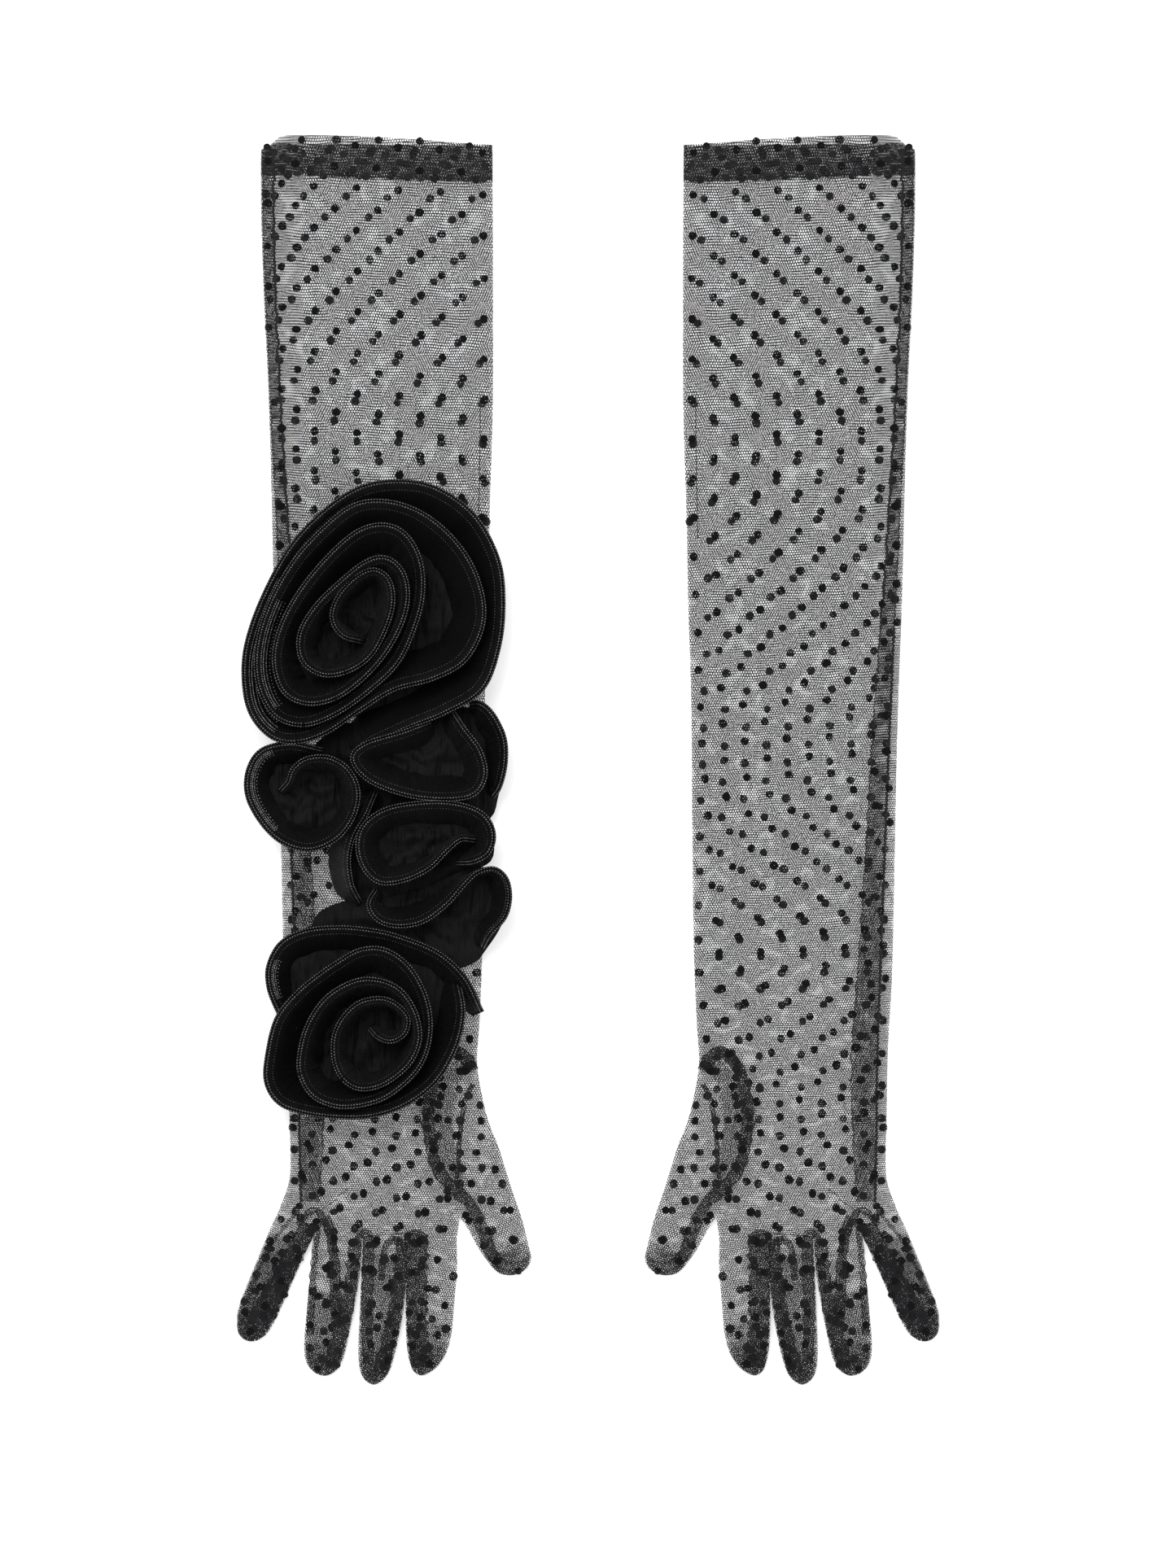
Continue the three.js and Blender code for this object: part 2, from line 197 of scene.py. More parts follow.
def normals(line):
    """Unit vectors to the left of the way that a flat line runs."""
    run = unit(np.gradient(line, axis=0))
    return np.column_stack([-run[:, 1], run[:, 0]])


def inside(points, outline):
    x, y = points[:, 0], points[:, 1]
    odd = np.zeros(len(points), bool)
    for (x0, y0), (x1, y1) in zip(outline, np.roll(outline, -1, axis=0)):
        crosses = (y0 > y) != (y1 > y)
        odd ^= crosses & (x < x0 + (y - y0) * (x1 - x0) / (y1 - y0 if y1 != y0 else 1))
    return odd


thumb_edge = smooth(THUMB_EDGE, 2.0)
seam_edge = smooth(SEAM_EDGE, 2.0)
stall_sides = {}
for stall_name, stall_points in STALLS.items():
    whole = smooth(stall_points, 1.0)
    split = np.linalg.norm(whole - np.array(stall_points[TIP]), axis=1).argmin()
    stall_sides[stall_name] = (whole[: split + 1], whole[split:][::-1])
mouth_corners = {name: (np.array(points[0]), np.array(points[-1])) for name, points in STALLS.items()}


# Every line along which the upper and the under layer meet.
EDGES = [thumb_edge, seam_edge, np.array([mouth_corners["thumb"][1], mouth_corners["index_finger"][0]])]
EDGES += [line for sides in stall_sides.values() for line in sides]
SEGMENTS = np.vstack([np.hstack([line[:-1], line[1:]]) for line in EDGES])


def edge_distance(points):
    """How far each point is from the nearest edge of the glove."""
    start, along = SEGMENTS[:, :2], SEGMENTS[:, 2:] - SEGMENTS[:, :2]
    square = np.maximum((along**2).sum(1), 1e-12)
    found = []
    for some in np.array_split(points, range(1500, len(points), 1500)):
        offset = some[:, None] - start[None]
        t = np.clip((offset * along).sum(2) / square, 0, 1)
        found.append(np.sqrt(((offset - t[..., None] * along) ** 2).sum(2).min(1)))
    return np.concatenate(found)


def ripple(points, scale):
    """Gentle unevenness, from -1 to 1, over a length of about scale."""
    x, y = points[:, 0] / scale, points[:, 1] / scale
    return 0.5 * np.sin(x + 1.7 * np.sin(0.6 * y)) + 0.5 * np.sin(1.3 * y + 1.1 * np.sin(0.8 * x + 2))


def layer_height(points, layer, inset=0.0):
    """Height of the front or back layer of net at each point, or of a layer that far inside it."""
    middle = (LOW + HIGH) / 2
    share = np.clip(edge_distance(points) / EDGE_ROUND, 0, 1)
    rise = np.sqrt(1 - (1 - share) ** 2)
    if layer == "front":
        return middle + rise * (HIGH - inset - middle + 0.45 * ripple(points, 13) + 0.2 * ripple(points, 4.5))
    return middle - rise * (middle - LOW - inset - 0.12 * (1 + ripple(points, 11)))


# ---- The net's own coordinates ----

def lattice_point(layer, across, down):
    s = LATTICES[layer]
    v = 10 * down
    x = s["x"] + s["across"] * across + s["drift"] * v + s["bow"] * v * v
    x = np.where(x > CROWDED_FROM, CROWDED_FROM + (x - CROWDED_FROM) * CROWDING, x)
    return x, s["y"] - s["down"] * down + s["tighten"] * down**2 + s["tilt"] * across


def net_coordinates(points, layer, turn=None):
    """Which hole of the net is at each point. turn = (centre, angle) for net that is turned from the grain
    of the sleeve, such as a finger's."""
    if turn is not None:
        points = turned(points, turn[0], -turn[1])
    s = LATTICES[layer]
    x, y = points[:, 0], points[:, 1]
    x = np.where(x > CROWDED_FROM, CROWDED_FROM + (x - CROWDED_FROM) / CROWDING, x)
    across = (x - s["x"]) / s["across"]
    for _ in range(4):
        drop = s["y"] + s["tilt"] * across - y
        down = (s["down"] - np.sqrt(s["down"] ** 2 - 4 * s["tighten"] * drop)) / (2 * s["tighten"])
        v = 10 * down
        across = (x - s["x"] - s["drift"] * v - s["bow"] * v * v) / s["across"]
    stray = points if layer == "front" else points + 50
    return np.column_stack([across * HOLES_ACROSS + 0.3 * ripple(stray + 20, 2.2),
                            down * HOLES_DOWN + 0.4 * ripple(stray, 2.7)])


def turned(points, centre, angle):
    c, s = math.cos(angle), math.sin(angle)
    x, y = (points - centre).T
    return centre + np.column_stack([x * c - y * s, x * s + y * c])


def dot_places(layer, outline, turn=None, margin=1.4):
    """Where a layer's dots are inside an outline."""
    rows, columns = np.meshgrid(np.arange(-4, 70), np.arange(-2, 9), indexing="ij")
    across = (columns + 0.5 * (rows % 2)).ravel()
    x, y = lattice_point(layer, across, rows.ravel().astype(float))
    places = np.column_stack([x, y])
    if turn is not None:
        places = turned(places, *turn)
    places = places + 0.35 * np.column_stack([ripple(places * 7.3, 3.1), ripple(places * 5.9, 2.3)])
    places = places[inside(places, outline)]
    return places[edge_distance(places) > margin]


# ---- Meshes ----


def flat_area(grid):
    """The area of a flat grid of points."""
    one, other = grid[1:, 1:] - grid[:-1, :-1], grid[1:, :-1] - grid[:-1, 1:]
    return np.abs(one[..., 0] * other[..., 1] - one[..., 1] * other[..., 0]).sum() / 2


class Cloth:
    """Gathers the grids and polygons of one piece."""

    def __init__(self):
        self.points, self.faces, self.uvs, self.slots = [], [], [], []
        self.count = 0
        self.cut = 0.0

    def add(self, points, faces, uvs, slot=0):
        self.points.append(np.asarray(points, float))
        self.faces += [tuple(int(k) + self.count for k in face) for face in faces]
        self.uvs.append(np.asarray(uvs, float))
        self.slots += [slot] * len(faces)
        self.count += len(points)

    def grid(self, points, uvs, slot=0, closed=False, flip=False):
        """Points in rows and columns. closed joins the last column to the first."""
        rows, columns = points.shape[:2]
        index = np.arange(rows * columns).reshape(rows, columns)
        right = np.roll(index, -1, axis=1) if closed else index[:, 1:]
        left = index if closed else index[:, :-1]
        corners = [left[:-1], right[:-1], right[1:], left[1:]]
        if flip:
            corners.reverse()
        faces = np.stack([c.ravel() for c in corners], axis=1)
        self.add(points.reshape(-1, 3), faces, uvs.reshape(-1, 2), slot)

    def make(self, name, materials, side=1, merge=0.0):
        """The finished piece, mirrored where side is -1."""
        mesh = bpy.data.meshes.new(name)
        points = np.vstack(self.points) * MM
        points[:, 0] *= side
        faces = self.faces if side > 0 else [face[::-1] for face in self.faces]
        mesh.from_pydata(points.tolist(), [], faces)
        uv = mesh.uv_layers.new(name="net")
        corner = np.empty(len(mesh.loops), np.int32)
        mesh.loops.foreach_get("vertex_index", corner)
        uv.data.foreach_set("uv", np.vstack(self.uvs)[corner].astype(np.float32).ravel())
        for material in materials:
            mesh.materials.append(material)
        mesh.polygons.foreach_set("material_index", np.array(self.slots, np.int32))
        mesh.polygons.foreach_set("use_smooth", np.ones(len(mesh.polygons), bool))
        if merge:
            work = bmesh.new()
            work.from_mesh(mesh)
            bmesh.ops.remove_doubles(work, verts=work.verts, dist=merge * MM)
            work.to_mesh(mesh)
            work.free()
        mesh.update()
        return new_object(name, mesh)


def add_dots(cloth, layer, places, slot, inset=0.0, turn=None, seed=1):
    """Flocked dots, each a low rough-edged dome on the outside of its layer."""
    draw = random.Random(seed)
    sides = 11
    for place in places:
        radius = DOT_RADIUS * draw.uniform(0.9, 1.08)
        stretch = draw.uniform(0.93, 1.07)
        angles = [2 * math.pi * k / sides for k in range(sides)]
        rim = [(place[0] + radius * stretch * math.cos(a) * draw.uniform(0.9, 1.08),
                place[1] + radius / stretch * math.sin(a) * draw.uniform(0.9, 1.08)) for a in angles]
        inner = [(place[0] + 0.55 * (x - place[0]), place[1] + 0.55 * (y - place[1])) for x, y in rim]
        flat = np.array(rim + inner + [tuple(place)])
        height = layer_height(flat, layer, inset)
        lift = np.array([0.06] * sides + [0.3] * sides + [0.38])
        z = height + lift if layer == "front" else height - np.minimum(lift, height - 0.02)
        faces = [(k, (k + 1) % sides, sides + (k + 1) % sides, sides + k) for k in range(sides)]
        faces += [(sides + k, sides + (k + 1) % sides, 2 * sides) for k in range(sides)]
        if layer == "back":
            faces = [face[::-1] for face in faces]
        cloth.add(np.column_stack([flat, z]), faces, net_coordinates(flat, layer, turn), slot)


def add_thread(cloth, line, radius, slot):
    """A thin thread, four-sided, along a line in space."""
    run = unit(np.gradient(line, axis=0))
    across = unit(np.cross(run, (0, 0, 1)))
    up = np.cross(across, run)
    angles = np.arange(4) * 2 * math.pi / 4
    ring = (line[:, None] + radius * np.cos(angles)[None, :, None] * across[:, None]
            + radius * np.sin(angles)[None, :, None] * up[:, None])
    uv = np.stack(np.broadcast_arrays(length_along(line)[:, None], angles[None]), axis=2)
    cloth.grid(ring, uv, slot, closed=True)


def thread_under(cloth, line, depth, radius, slot):
    """A thread that lies that far below the outside of the upper layer."""
    add_thread(cloth, np.column_stack([line, layer_height(line, "front") - depth]), radius, slot)


# ---- Materials ----

class Surface:
    """A material, with short ways to add shader nodes. They all read the net's own coordinates."""

    def __init__(self, name, colour, roughness, specular=0.2, sheen=0.0, sheen_roughness=0.5):
        self.material = bpy.data.materials.new(name)
        self.material.use_nodes = True
        self.tree = self.material.node_tree
        self.shader = self.tree.nodes["Principled BSDF"]
        self.set("Base Color", (*colour, 1))
        self.set("Roughness", roughness)
        self.set("Specular IOR Level", specular)
        self.set("Sheen Weight", sheen)
        self.set("Sheen Roughness", sheen_roughness)
        self.uv = self.add("ShaderNodeUVMap", {}, uv_map="net").outputs[0]

    def set(self, socket, value):
        self.shader.inputs[socket].default_value = value

    def add(self, kind, inputs, **settings):
        """A node whose inputs are set to numbers or colours, or linked where a socket is given."""
        node = self.tree.nodes.new(kind)
        for key, value in settings.items():
            setattr(node, key, value)
        for key, value in inputs.items():
            if isinstance(value, bpy.types.NodeSocket):
                self.tree.links.new(value, node.inputs[key])
            else:
                node.inputs[key].default_value = value
        return node

    def drive(self, socket, value):
        self.tree.links.new(value, self.shader.inputs[socket])

    def math(self, operation, *values):
        return self.add("ShaderNodeMath", dict(enumerate(values)), operation=operation).outputs[0]

    def map(self, value, low, high, to_low, to_high):
        inputs = {"Value": value, "From Min": low, "From Max": high, "To Min": to_low, "To Max": to_high}
        return self.add("ShaderNodeMapRange", inputs, clamp=True).outputs["Result"]

    def noise(self, scale, detail, vector=None):
        inputs = {"Vector": self.uv if vector is None else vector, "Scale": scale, "Detail": detail}
        return self.add("ShaderNodeTexNoise", inputs).outputs["Fac"]

    def waves(self, scale, distortion, direction):
        inputs = {"Vector": self.uv, "Scale": scale, "Distortion": distortion}
        return self.add("ShaderNodeTexWave", inputs, bands_direction=direction).outputs["Fac"]

    def bump(self, height, strength, distance, **normal):
        inputs = {"Height": height, "Strength": strength, "Distance": distance, **normal}
        return self.add("ShaderNodeBump", inputs).outputs[0]

    def tint(self, factor, dark, light):
        """Lets the colour vary between dark and light."""
        inputs = {"Factor": factor, "A": (*dark, 1), "B": (*light, 1)}
        self.drive("Base Color", self.add("ShaderNodeMix", inputs, data_type="RGBA").outputs["Result"])

    def cut_holes(self, limit):
        """Bobbin net's staggered six-sided holes. A limit of 3 leaves no hole and -1.5 no thread."""
        parts = self.add("ShaderNodeSeparateXYZ", {0: self.uv})
        across, down = parts.outputs[0], parts.outputs[1]
        a = self.math("MULTIPLY", self.math("MULTIPLY_ADD", down, -0.5, across), 2 * math.pi)
        b = self.math("MULTIPLY", down, 2 * math.pi)
        waves = [self.math("COSINE", angle) for angle in (a, b, self.math("ADD", a, b))]
        hole = self.math("ADD", self.math("ADD", waves[0], waves[1]), waves[2])
        self.drive("Alpha", self.math("LESS_THAN", hole, limit))


def net_material(name, thread, colour=(0.010, 0.010, 0.0115)):
    """Net with uneven threads. thread says how thick they are."""
    net = Surface(name, colour, 0.62, specular=0.18, sheen=0.04)
    net.cut_holes(net.map(net.noise(0.9, 1.5), 0.3, 0.7, thread - 0.32, thread + 0.32))
    net.tint(net.noise(3.1, 3), [0.55 * c for c in colour], [1.5 * c for c in colour])
    return net.material


def flock_material():
    """The velvety dots, through some of which the net's holes still show."""
    flock = Surface("flock_dots", (0.0035, 0.0035, 0.004), 0.95, specular=0.05, sheen=0.12)
    flock.cut_holes(flock.map(flock.noise(0.33, 1), 0.46, 0.70, 3.1, 1.7))
    flock.drive("Normal", flock.bump(flock.noise(9, 2), 0.5, 0.0003))
    return flock.material


def thread_and_painted_sheen_material(name, grey, sheen):
    """Twisted sewing thread; the same grey also paints light: part of the ribbon stitching's highlight, and
    the sheen specks on the sheer ribbons.
    """
    thread = Surface(name, (grey, grey, grey * 1.04), 0.5, specular=0.3, sheen=sheen)
    thread.tint(thread.waves(1.2, 1.0, "X"), (0.6 * grey, 0.6 * grey, 0.62 * grey),
                (1.3 * grey, 1.3 * grey, 1.36 * grey))
    return thread.material


def crepe_material():
    """Dull black crepe ribbon: fine ribs across it, a pebbled surface, soft creases and a little sheen."""
    crepe = Surface("ribbon_crepe", (0.004, 0.004, 0.0045), 0.5, 0.11, sheen=0.02, sheen_roughness=0.35)
    pebble = crepe.noise(1.9, 4)
    grain = crepe.math("MULTIPLY_ADD", crepe.waves(0.62, 0.6, "Y"), 0.5, pebble)
    stretch = crepe.add("ShaderNodeMapping", {"Vector": crepe.uv, "Scale": (0.17, 0.035, 1)})
    creases = crepe.bump(crepe.noise(1, 2, stretch.outputs[0]), 0.7, 0.004)
    crepe.drive("Normal", crepe.bump(grain, 0.35, 0.00025, Normal=creases))
    crepe.tint(crepe.noise(0.05, 3), (0.0005, 0.0005, 0.0006), (0.0062, 0.0062, 0.0068))
    crepe.drive("Roughness", crepe.map(pebble, 0.3, 0.7, 0.5, 0.68))
    return crepe.material


NET = net_material("dotted_net", -0.71)
INNER_NET = net_material("turned_net", -0.80)
FLOCK = flock_material()
SEAM_THREAD = thread_and_painted_sheen_material("seam_thread", 0.006, 0.0)
# Ribbon stitching: real thread, but its light grey is partly a painted highlight, thread catching the light.
STITCH_THREAD_WITH_HIGHLIGHT = thread_and_painted_sheen_material("ribbon_stitching_painted_highlight", 0.19, 0.05)
# Painted sheen: light grey specks for the grainy reflection on the sheer ribbons' left faces.
PAINTED_SHEEN_SPECKS = thread_and_painted_sheen_material("sheer_ribbon_painted_sheen", 0.34, 0.1)
CREPE = crepe_material()

# ---- The gloves' net ----

ACROSS = [0, 0.012, 0.04, 0.085, 0.15, 0.25, 0.375, 0.5, 0.625, 0.75, 0.85, 0.915, 0.96, 0.988, 1]
CORNERS = [*mouth_corners["thumb"], mouth_corners["index_finger"][0]]
CORNERS += [mouth_corners[name][1] for name in STALLS if name != "thumb"]


# The line across all the stalls' mouths, with more points towards their corners.
MOUTHS = [CORNERS[0]]
for gap, (corner, next_corner) in enumerate(zip(CORNERS, CORNERS[1:])):
    fractions = [0, 0.2, 0.5, 0.8, 1] if gap == 1 else ACROSS
    MOUTHS += [corner + (next_corner - corner) * f for f in fractions[1:]]
MOUTHS = np.array(MOUTHS)
COLUMNS = length_along(MOUTHS) / length_along(MOUTHS)[-1]


def straight_rows(heights):
    """Rows of points across the sleeve, each at one height."""
    left, right = x_at(thumb_edge, heights), x_at(seam_edge, heights)
    x = left[:, None] + COLUMNS[None] * (right - left)[:, None]
    return np.stack([x, np.broadcast_to(heights[:, None], x.shape)], axis=2)


def straight_row(height):
    return straight_rows(np.array([height]))[0]


def opening_edge(top):
    edge = straight_row(OPENING_Y)
    edge[:, 1] = follow(top, edge[:, 0])
    return edge


def rows_between(first, last):
    """Rows of points from one line to another."""
    t = np.linspace(0, 1, 6)[:, None, None]
    return first[None] * (1 - t) + last[None] * t


def palm_rows():
    """Rows that spread from a straight one across the wrist to the line of the stalls' mouths."""
    top = straight_row(PALM_TOP)
    left = np.vstack([top[:1], thumb_edge[thumb_edge[:, 1] < PALM_TOP - 0.5]])
    right = np.vstack([top[-1:], seam_edge[seam_edge[:, 1] < PALM_TOP - 0.5]])
    steps = np.linspace(0, 1, 27)
    left, right = at_fractions(left, steps), at_fractions(right, steps)
    u, t = COLUMNS[None, :, None], steps[:, None, None]
    corners = ((1 - u) * (1 - t) * top[0] + u * (1 - t) * top[-1] + (1 - u) * t * MOUTHS[0]
               + u * t * MOUTHS[-1])
    return (1 - t) * top[None] + t * MOUTHS[None] + (1 - u) * left[:, None] + u * right[:, None] - corners


def add_layer(cloth, flat, layer, slot=0, inset=0.0, turn=None, slip=(0.0, 0.0)):
    """A grid of net at the height of its layer. slip moves its holes against the other layers'."""
    cloth.cut += flat_area(flat)
    points = flat.reshape(-1, 2)
    z = layer_height(points, layer, inset)
    grid = np.column_stack([points, z]).reshape(*flat.shape[:2], 3)
    uv = net_coordinates(points + np.array(slip), layer, turn).reshape(flat.shape)
    cloth.grid(grid, uv, slot, flip=(layer == "front"))


def add_inner_layer(cloth, flat, inset, turn, margin, slot, seed):
    """A dotted layer of net that lies that far inside the upper one."""
    add_layer(cloth, flat, "front", inset=inset, turn=turn)
    outline = np.vstack([flat[:, 0], flat[::-1, -1]])
    add_dots(cloth, "front", dot_places("front", outline, turn, margin), slot, inset, turn, seed)


def sleeve_net(glove, name, layers, creases, seed):
    """A length of the sleeve, from the rows of its two layers, with the threads that lie in it."""
    cloth = Cloth()
    for layer, rows in layers.items():
        add_layer(cloth, rows, layer)
        outline = np.vstack([rows[0], rows[1:, -1], rows[-1, ::-1], rows[::-1, 0]])
        add_dots(cloth, layer, dot_places(layer, outline), 1, seed=seed)
    for crease, depth in creases:
        thread_under(cloth, crease, depth, FINE_THREAD, 2)
    return cloth.make(f"{glove}_{name}", [NET, FLOCK, SEAM_THREAD], SIDES[glove], merge=0.02)


def arm_net(glove):
    """The sleeve above the middle of the forearm."""
    straight = straight_rows(np.arange(TOP_ROW, SPLIT - 1, -ROW_PITCH))
    layers = {layer: np.concatenate([rows_between(opening_edge(top), straight[0])[:-1], straight])
              for layer, top in (("front", FRONT_TOP), ("back", BACK_TOP))}
    return sleeve_net(glove, "arm_net", layers, [(smooth(CREASE, 2.0), 0.5)], 3)


def hand_net(glove):
    """The sleeve below that, with the wrist and the hand down to the stalls' mouths."""
    straight = straight_rows(np.append(np.arange(SPLIT, PALM_TOP + 2, -ROW_PITCH), PALM_TOP))
    rows = np.concatenate([straight[:-1], palm_rows()])
    creases = [(smooth(points, 1.5), 0.4) for points in PALM_CREASES]
    return sleeve_net(glove, "hand_net", {"front": rows, "back": rows}, creases, 5)


def stall_turn(name):
    """A stall's net is turned about the middle of its mouth by as much as the stall leans."""
    a, b = mouth_corners[name]
    tip_at = np.array(STALLS[name][TIP])
    middle = (a + b) / 2
    lean = math.atan2(tip_at[0] - middle[0], middle[1] - tip_at[1])
    return middle, lean


def way_down(lean):
    """Which way a stall runs."""
    return np.array([math.sin(lean), -math.cos(lean)])


def stall_rows(name):
    left, right = stall_sides[name]
    steps = 1 - (1 - np.linspace(0, 1, 30)) ** 1.5
    left, right = at_fractions(left, steps), at_fractions(right, steps)
    u = np.array(ACROSS)[None, :, None]
    return left[:, None] * (1 - u) + right[:, None] * u


def stall_net(glove, name):
    cloth = Cloth()
    rows = stall_rows(name)
    turn = stall_turn(name)
    outline = np.vstack([stall_sides[name][0], stall_sides[name][1][::-1]])
    for layer in ("front", "back"):
        add_layer(cloth, rows, layer, turn=turn)
        add_dots(cloth, layer, dot_places(layer, outline, turn), 1, turn=turn, seed=7)
    return cloth.make(f"{glove}_{name}_net", [NET, FLOCK], SIDES[glove], merge=0.02)


def hem(glove):
    """The net turned in at the arm opening, and its raw edge turned up again inside."""
    cloth = Cloth()
    middle = np.array([100.0, 285.0])
    for layer, top, tilts in (("front", FRONT_TOP, (0.05, -0.11)), ("back", BACK_TOP, (-0.07, 0.13))):
        edge = opening_edge(top) - [0, 0.3]
        low = straight_row(275.0)
        low[:, 1] = follow(HEM_EDGE, low[:, 0]) + 0.7 * ripple(low * 4, 3.7)
        back_up = low + [0, HEM_TURN]
        back_up[:, 1] += 0.8 * ripple(low * 5, 2.9)
        turn, back_turn = (middle, tilts[0]), (middle, tilts[1])
        add_layer(cloth, rows_between(edge, low), layer, inset=0.45, turn=turn, slip=(0.6, 0.5))
        add_layer(cloth, rows_between(low, back_up), layer, inset=0.9, turn=back_turn)
        if layer == "front":
            add_layer(cloth, rows_between(edge, back_up), layer, inset=1.3, turn=back_turn, slip=(3, 2))
        for slip, height in ((7.0, 0.45), (-6.0, 0.9)):
            outline = np.vstack([edge, low[::-1]]) + [slip, 0.5 * slip]
            places = dot_places(layer, outline) - [slip, 0.5 * slip]
            places = places[edge_distance(places) > 1.5]
            add_dots(cloth, layer, places, 1, inset=height, seed=11)
        lift = 0.12 if layer == "front" else 0.1
        stitch = np.column_stack([low + [0, 1.2], layer_height(low, layer) + lift])
        stitch = at_fractions(stitch, np.linspace(0.01, 0.99, 150))
        for k in range(0, len(stitch) - 2, 3):
            add_thread(cloth, stitch[k: k + 3], FINE_THREAD, 2)
    return cloth.make(f"{glove}_turned_hem", [INNER_NET, FLOCK, SEAM_THREAD], SIDES[glove])


def side_seam(glove, part, high, low):
    """The seam's allowance, two layers lying inside the glove, between its stitching and its raw edge."""
    cloth = Cloth()
    heights = np.linspace(high, low, round((high - low) / ROW_PITCH))
    inner, outer = [np.column_stack([follow([(-row[0], row[k]) for row in SEAM_LINES], -heights), heights])
                    for k in (1, 2)]
    inner[:, 0] += 0.5 * ripple(inner * 3, 4.1)
    outer[:, 0] = np.minimum(outer[:, 0], x_at(seam_edge, heights) - 0.9)
    flat = rows_between(inner, outer).transpose(1, 0, 2)
    turn, other_turn = (np.array([140.0, 0.0]), 0.10), (np.array([140.0, 0.0]), -0.07)
    add_layer(cloth, flat, "front", inset=1.6, turn=turn)
    add_layer(cloth, flat, "front", inset=2.6, turn=other_turn)
    outline = np.vstack([inner, outer[::-1]])
    add_dots(cloth, "front", dot_places("front", outline, turn, 1.6), 2, 1.6, turn, seed=4)
    strong, fine = (inner, outer) if part == "above_elbow" else (outer, inner)
    for line, radius in ((strong, 0.6), (fine, 0.26)):
        zigzag = smooth(line, 1.1)
        zigzag[:, 0] += 0.3 * (-1.0) ** np.arange(len(zigzag))
        thread_under(cloth, zigzag, 0.7, radius, 1)
    return cloth.make(f"{glove}_side_seam_{part}", [INNER_NET, SEAM_THREAD, FLOCK], SIDES[glove])


def band(glove, name, line, widths, layers, drop, thread):
    """A strip of net inside the glove along a line: a fourchette, a gusset's seam or a turned allowance."""
    cloth = Cloth()
    middle = smooth(line, 2.0)
    across = normals(middle)
    half = np.linspace(*widths, len(middle))[:, None] / 2
    half = half * (1 + 0.22 * ripple(middle * 6, 4.0)[:, None])
    middle = middle + 0.35 * ripple(middle * 5 + 20, 3.0)[:, None] * across
    u = np.linspace(-1, 1, 6)[None, :, None]
    flat = middle[:, None] + u * half[:, None] * across[:, None]
    for k in range(layers):
        add_inner_layer(cloth, flat, drop + 0.6 * k, (middle[0], 0.55 + 0.5 * k), 1.2, 2, k)
    if thread:
        for sign in (-1, 1):
            thread_under(cloth, smooth(middle + sign * half * across, 1.0), drop - 0.3, thread, 1)
    return cloth.make(f"{glove}_{name}", [INNER_NET, SEAM_THREAD, FLOCK], SIDES[glove])


def stall_filling(glove, name, kind, depths, drop):
    """Extra net crumpled inside a stall, each layer of it reaching that far back from the tip."""
    cloth = Cloth()
    rows = stall_rows(name)
    centre, lean = stall_turn(name)
    from_tip = np.linalg.norm(rows.mean(axis=1) - np.array(STALLS[name][TIP]), axis=1)
    for k, depth in enumerate(depths):
        kept = rows[from_tip < depth].copy()
        middle = kept.mean(axis=1, keepdims=True)
        kept = middle + (kept - middle) * 0.93
        kept[0] += way_down(lean) * 2.4 * ripple(kept[0] * 3 + 9 * k, 2.1)[:, None]
        add_inner_layer(cloth, kept, drop + 0.8 * k, (centre, lean + 0.5 + 0.45 * k), 2.4, 1, k)
    return cloth.make(f"{glove}_{name}_{kind}", [INNER_NET, FLOCK], SIDES[glove])


# How far back from each tip the gathered seam allowance reaches, and where more net lies doubled inside.
TIP_GATHERS = {"thumb": 10, "index_finger": 12, "middle_finger": 12, "ring_finger": 12, "little_finger": 15}
LININGS = {"middle_finger": (62,), "little_finger": (52, 46), "ring_finger": (40,), "index_finger": (26,)}
